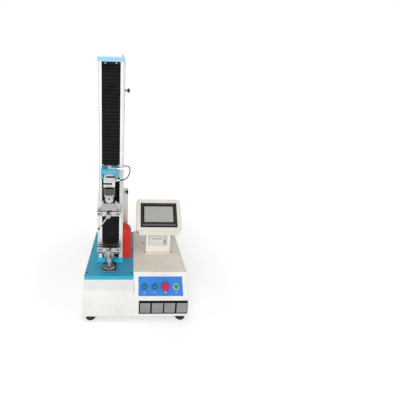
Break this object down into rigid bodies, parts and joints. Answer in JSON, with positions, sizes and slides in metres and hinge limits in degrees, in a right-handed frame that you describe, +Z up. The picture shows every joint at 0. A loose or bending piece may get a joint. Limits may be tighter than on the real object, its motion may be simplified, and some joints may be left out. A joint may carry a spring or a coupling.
{
  "type": "universal testing machine",
  "caption": "Bench universal testing machine: bellows-covered column, screw-driven crosshead with load cell, two screw grips, and a control box with tilted display and printer.",
  "frame": {"origin": "on the bench, under the middle of the base", "axes": "+X to the right as the user sees it, +Y to the rear, +Z up"},
  "size_m": [0.48, 0.454, 1.21],
  "materials": {
    "white_paint": "satin powder coat",
    "grey_paint": "satin powder coat",
    "teal_paint": "satin paint",
    "cyan_paint": "satin paint",
    "pale_blue_paint": "satin paint",
    "red_paint": "satin paint",
    "blue_panel": "printed overlay",
    "white_extrusion": "powder coat",
    "steel": "machined",
    "bright_steel": "ground",
    "black_steel": "black oxide",
    "aluminium": "machined",
    "rubber": "matte",
    "black_fabric": "coated",
    "black_plastic": "moulded",
    "grey_plastic": "moulded",
    "green_plastic": "moulded",
    "red_plastic": "moulded",
    "brass": "nickel plated",
    "screen_glass": "touch film",
    "green_board": "circuit board",
    "paper": "paper",
    "motor_paint": "matte"
  },
  "bodies": {
    "base": {"base_housing": "white_paint", "bottom_pan": "grey_paint", "rubber_feet": "rubber", "deck_plate": "teal_paint", "frame_fasteners": "black_steel", "column_flange": "cyan_paint", "column_profile": "white_extrusion", "column_cap": "pale_blue_paint", "bearing_plates": "aluminium", "guide_rods": "bright_steel", "bellows_strips": "black_steel", "upper_bellows": "black_fabric", "lower_bellows": "black_fabric", "drive_motor": "motor_paint", "rear_housing": "white_paint", "timing_belt": "rubber", "limit_switches": "black_plastic", "limit_guard": "red_paint", "control_panel": "blue_panel", "button_housings": "grey_plastic", "motor_controller": "green_board", "power_inlet": "black_plastic", "display_pedestal": "white_paint", "display_housing": "white_paint", "display_frame": "black_plastic", "touch_screen": "screen_glass", "printer_frame": "grey_plastic", "lower_adapter": "steel", "lower_grip_body": "steel"},
    "crosshead": {"carriage": "aluminium", "crosshead_arm": "cyan_paint", "load_cell": "steel", "support_arm": "bright_steel", "load_train_fasteners": "steel", "cable_gland": "brass", "load_cell_cable": "rubber", "upper_adapter": "steel", "upper_grip_body": "steel"},
    "screw": {"ball_screw": "bright_steel", "screw_pulley": "aluminium"},
    "motor_rotor": {"motor_pulley": "steel"},
    "limit_rod": {"limit_rod": "bright_steel"},
    "upper_collar": {"upper_limit_collar": "steel"},
    "lower_collar": {"lower_limit_collar": "steel"},
    "upper_knob": {"upper_limit_knob": "black_plastic"},
    "lower_knob": {"lower_limit_knob": "black_plastic"},
    "up_button": {"up_button": "green_plastic"},
    "down_button": {"down_button": "green_plastic"},
    "stop_button": {"stop_button": "red_plastic"},
    "power_button": {"power_button": "green_plastic"},
    "printer_door": {"printer_door": "grey_plastic"},
    "paper_roll": {"paper_roll": "paper"},
    "upper_ring": {"upper_lock_ring": "black_steel"},
    "lower_ring": {"lower_lock_ring": "black_steel"},
    "upper_jaw": {"upper_jaw": "steel"},
    "lower_jaw": {"lower_jaw": "steel"},
    "upper_clamp_screw": {"upper_clamp_screw": "steel"},
    "lower_clamp_screw": {"lower_clamp_screw": "steel"},
    "upper_tommy_bar": {"upper_tommy_bar": "bright_steel"},
    "lower_tommy_bar": {"lower_tommy_bar": "bright_steel"}
  },
  "joints": [
    {"name": "crosshead_travel", "type": "slide", "parent": "base", "child": "crosshead", "axis": [0, 0, 1], "range_m": [-0.13, 0.34], "deforming": ["upper_bellows", "lower_bellows"]},
    {"name": "screw_spin", "type": "hinge", "parent": "base", "child": "screw", "pos_m": [-0.13, 0.01, 0.152], "axis": [0, 0, 1], "range_deg": [-4685, 12245]},
    {"name": "motor_spin", "type": "hinge", "parent": "base", "child": "motor_rotor", "pos_m": [-0.13, 0.15, 0.152], "axis": [0, 0, 1], "range_deg": [-9365, 24485]},
    {"name": "upper_ring_turn", "type": "hinge", "parent": "crosshead", "child": "upper_ring", "pos_m": [-0.13, -0.124, 0.574], "axis": [0, 0, 1], "range_deg": [-180, 180]},
    {"name": "lower_ring_turn", "type": "hinge", "parent": "base", "child": "lower_ring", "pos_m": [-0.13, -0.124, 0.2033], "axis": [0, 0, 1], "range_deg": [-180, 180]},
    {"name": "limit_rod_travel", "type": "slide", "parent": "base", "child": "limit_rod", "axis": [0, 0, 1], "range_m": [-0.003, 0.003], "stiffness_N_per_m": 3000, "springref_m": 0.0012},
    {"name": "upper_jaw_slide", "type": "slide", "parent": "crosshead", "child": "upper_jaw", "axis": [0, 1, 0], "range_m": [-0.005, 0.005]},
    {"name": "upper_clamp_turn", "type": "hinge", "parent": "upper_jaw", "child": "upper_clamp_screw", "pos_m": [-0.13, -0.169, 0.487], "axis": [0, 1, 0], "range_deg": [-725, 725]},
    {"name": "upper_bar_slide", "type": "slide", "parent": "upper_clamp_screw", "child": "upper_tommy_bar", "axis": [0.5736, 0, 0.8192], "range_m": [0, 0.0592]},
    {"name": "lower_jaw_slide", "type": "slide", "parent": "base", "child": "lower_jaw", "axis": [0, 1, 0], "range_m": [-0.005, 0.005]},
    {"name": "lower_clamp_turn", "type": "hinge", "parent": "lower_jaw", "child": "lower_clamp_screw", "pos_m": [-0.13, -0.169, 0.3093], "axis": [0, 1, 0], "range_deg": [-725, 725]},
    {"name": "lower_bar_slide", "type": "slide", "parent": "lower_clamp_screw", "child": "lower_tommy_bar", "axis": [-0.0698, 0, 0.9976], "range_m": [0, 0.0592]},
    {"name": "up_button_press", "type": "slide", "parent": "base", "child": "up_button", "axis": [0, 0.8039, -0.5948], "range_m": [0, 0.003], "stiffness_N_per_m": 500, "springref_m": -0.002},
    {"name": "down_button_press", "type": "slide", "parent": "base", "child": "down_button", "axis": [0, 0.8039, -0.5948], "range_m": [0, 0.003], "stiffness_N_per_m": 500, "springref_m": -0.002},
    {"name": "stop_button_press", "type": "slide", "parent": "base", "child": "stop_button", "axis": [0, 0.8039, -0.5948], "range_m": [0, 0.003], "stiffness_N_per_m": 500, "springref_m": -0.002},
    {"name": "power_button_press", "type": "slide", "parent": "base", "child": "power_button", "axis": [0, 0.8039, -0.5948], "range_m": [0, 0.003], "stiffness_N_per_m": 500, "springref_m": -0.002},
    {"name": "upper_collar_slide", "type": "slide", "parent": "limit_rod", "child": "upper_collar", "axis": [0, 0, 1], "range_m": [0, 0.06]},
    {"name": "upper_knob_turn", "type": "hinge", "parent": "upper_collar", "child": "upper_knob", "pos_m": [-0.0697, 0.014, 1.046], "axis": [1, 0, 0], "range_deg": [-180, 180]},
    {"name": "lower_collar_slide", "type": "slide", "parent": "limit_rod", "child": "lower_collar", "axis": [0, 0, 1], "range_m": [-0.06, 0]},
    {"name": "lower_knob_turn", "type": "hinge", "parent": "lower_collar", "child": "lower_knob", "pos_m": [-0.0697, 0.014, 0.536], "axis": [1, 0, 0], "range_deg": [-180, 180]},
    {"name": "printer_door_open", "type": "hinge", "parent": "base", "child": "printer_door", "pos_m": [0.1095, -0.0068, 0.2495], "axis": [1, 0, 0], "range_deg": [0, 80]},
    {"name": "paper_roll_turn", "type": "hinge", "parent": "base", "child": "paper_roll", "pos_m": [0.1095, 0.025, 0.272], "axis": [1, 0, 0], "continuous": true}
  ],
  "couplings": [
    {"joint": "screw_spin", "follows": "crosshead_travel", "rad_per_m": 628.32},
    {"joint": "motor_spin", "follows": "crosshead_travel", "rad_per_m": 1256.6},
    {"joint": "upper_clamp_turn", "follows": "upper_jaw_slide", "rad_per_m": 2513.3},
    {"joint": "lower_clamp_turn", "follows": "lower_jaw_slide", "rad_per_m": 2513.3}
  ]
}
